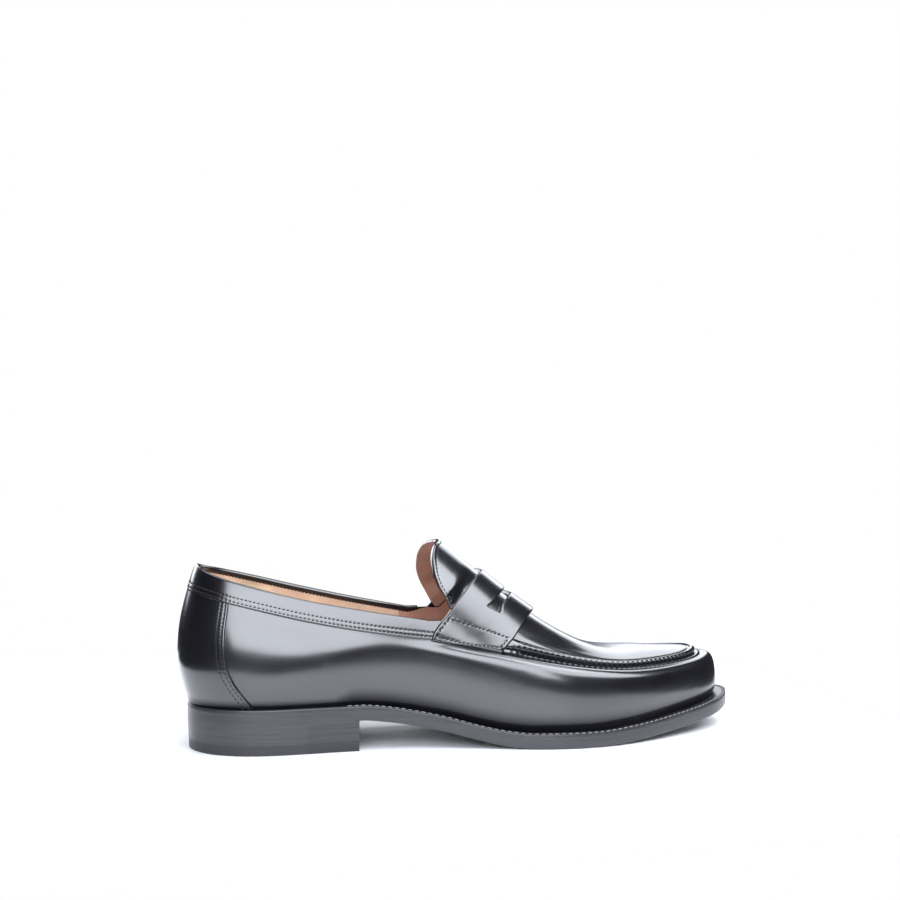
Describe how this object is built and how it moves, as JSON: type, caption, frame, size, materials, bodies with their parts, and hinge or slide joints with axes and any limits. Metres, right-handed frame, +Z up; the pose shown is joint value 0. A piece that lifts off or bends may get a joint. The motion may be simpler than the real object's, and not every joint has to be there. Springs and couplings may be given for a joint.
{
  "type": "penny loafer",
  "caption": "Right black calf penny loafer with a slotted saddle strap, raised moccasin apron, bound collar, welted leather sole and stacked heel.",
  "frame": {"origin": "middle of the bounding box, on the floor", "axes": "+X along the shoe towards the toe, +Y to the wearer's left, which is the medial side of this right shoe, +Z up"},
  "size_m": [0.2984, 0.1036, 0.1028],
  "materials": {
    "black_calf": "polished calf",
    "black_sole_edge": "satin edge dressing",
    "tan_leather": "matte",
    "black_rubber": "matte"
  },
  "bodies": {
    "root": {"outsole": "black_sole_edge", "welt": "black_sole_edge", "heel_rand": "black_sole_edge", "heel_lift_1": "black_sole_edge", "heel_lift_2": "black_sole_edge", "heel_lift_3": "black_sole_edge", "heel_top_piece": "black_rubber", "insole": "tan_leather", "upper": "black_calf", "heel_counter": "black_calf", "collar_band": "black_calf", "apron": "black_calf", "tongue": "black_calf", "strap": "black_calf"}
  },
  "joints": []
}
